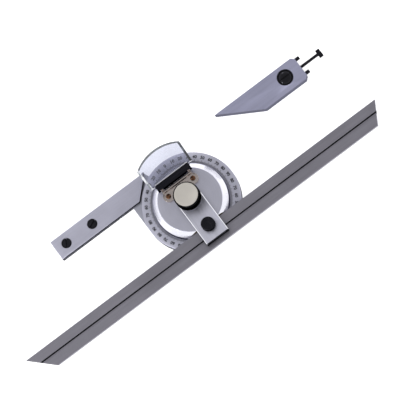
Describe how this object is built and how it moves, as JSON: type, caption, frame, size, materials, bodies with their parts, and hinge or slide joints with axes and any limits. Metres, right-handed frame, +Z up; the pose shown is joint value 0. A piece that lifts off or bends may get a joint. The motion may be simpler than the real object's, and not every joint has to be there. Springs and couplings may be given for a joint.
{
  "type": "universal bevel protractor",
  "caption": "Bevel protractor with a stock bar, graduated dial, turning turret, long sliding blade, flip-up magnifier, lock knob and a loose acute-angle attachment.",
  "frame": {"origin": "pivot axis of the turret, on the flat underside of the base that lies on the table", "axes": "+X along the blade towards its 60 degree end, +Y from the blade towards the stock bar and magnifier, +Z up out of the dial"},
  "size_m": [0.3, 0.0799, 0.028],
  "materials": {
    "satin_steel": "satin ground, hard chromed",
    "bright_steel": "fine turned and polished",
    "chromed_scale": "satin chrome with etched black graduations",
    "blade_steel": "hardened and ground along its length",
    "black_oxide": "black oxide, oiled",
    "bronze": "turned bronze",
    "spring_steel": "rolled and tempered",
    "cap_steel": "faced on a lathe",
    "acrylic": "clear, polished"
  },
  "bodies": {
    "base": {"base_plate": "satin_steel", "scale_ring": "chromed_scale", "stock_bar": "satin_steel", "stock_screw_1": "black_oxide", "stock_screw_2": "black_oxide", "ring_screw_1": "black_oxide", "ring_screw_2": "black_oxide", "ring_screw_3": "black_oxide", "pivot_stud": "bright_steel", "thrust_washer": "bronze", "wave_washer": "spring_steel"},
    "turret": {"turret": "bright_steel", "turret_bush": "bronze", "vernier_plate": "chromed_scale", "vernier_screw_1": "black_oxide", "vernier_screw_2": "black_oxide", "gib_strip": "bronze", "blade_arm": "satin_steel", "arm_screw_1": "black_oxide", "arm_screw_2": "black_oxide", "magnifier_bracket": "spring_steel", "bracket_screw_1": "bronze", "bracket_screw_2": "bronze"},
    "blade": {"blade": "blade_steel"},
    "clamp_shoe": {"clamp_shoe": "bronze"},
    "clamp_screw": {"clamp_screw": "black_oxide"},
    "magnifier": {"lens_holder": "black_oxide", "hinge_pin": "bright_steel", "lens": "acrylic"},
    "lock_washer": {"lock_washer": "spring_steel"},
    "lock_knob": {"lock_knob": "black_oxide", "knob_cap": "cap_steel"},
    "attachment": {"attachment_plate": "satin_steel", "attachment_pin_1": "black_oxide", "attachment_pin_2": "black_oxide", "cam_retaining_ring": "black_oxide"},
    "cam_screw": {"cam_screw": "black_oxide"},
    "attachment_bolt": {"attachment_bolt": "black_oxide"}
  },
  "joints": [
    {"name": "turret_turn", "type": "hinge", "parent": "base", "child": "turret", "pos_m": [0, 0, 0.008], "axis": [0, 0, 1], "continuous": true},
    {"name": "blade_slide", "type": "slide", "parent": "turret", "child": "blade", "axis": [1, 0, 0], "range_m": [-0.12, 0.12]},
    {"name": "clamp_shoe_rise", "type": "slide", "parent": "turret", "child": "clamp_shoe", "axis": [0, 0, 1], "range_m": [0, 0.0004]},
    {"name": "clamp_screw_turn", "type": "hinge", "parent": "clamp_shoe", "child": "clamp_screw", "pos_m": [0, -0.0234, 0.0175], "axis": [0, 0, 1], "range_deg": [0, 180]},
    {"name": "magnifier_tilt", "type": "hinge", "parent": "turret", "child": "magnifier", "pos_m": [0, 0.017, 0.0199], "axis": [1, 0, 0], "range_deg": [0, 75]},
    {"name": "lock_washer_rise", "type": "slide", "parent": "base", "child": "lock_washer", "axis": [0, 0, 1], "range_m": [0, 0.0006]},
    {"name": "lock_knob_turn", "type": "hinge", "parent": "lock_washer", "child": "lock_knob", "pos_m": [0, 0, 0.022], "axis": [0, 0, 1], "range_deg": [0, 270]},
    {"name": "attachment_lift", "type": "slide", "parent": "base", "child": "attachment", "axis": [0, 0, 1], "range_m": [0, 0.08]},
    {"name": "cam_screw_turn", "type": "hinge", "parent": "attachment", "child": "cam_screw", "pos_m": [0.1037, 0.0311, 0.005], "axis": [0, 0, 1], "range_deg": [0, 90]},
    {"name": "bolt_draw", "type": "slide", "parent": "attachment", "child": "attachment_bolt", "axis": [1, 0, 0], "range_m": [-0.0009, 0]}
  ],
  "couplings": [
    {"joint": "clamp_screw_turn", "follows": "clamp_shoe_rise", "rad_per_m": 7850},
    {"joint": "lock_knob_turn", "follows": "lock_washer_rise", "rad_per_m": 7850},
    {"joint": "cam_screw_turn", "follows": "bolt_draw", "rad_per_m": -1745}
  ]
}
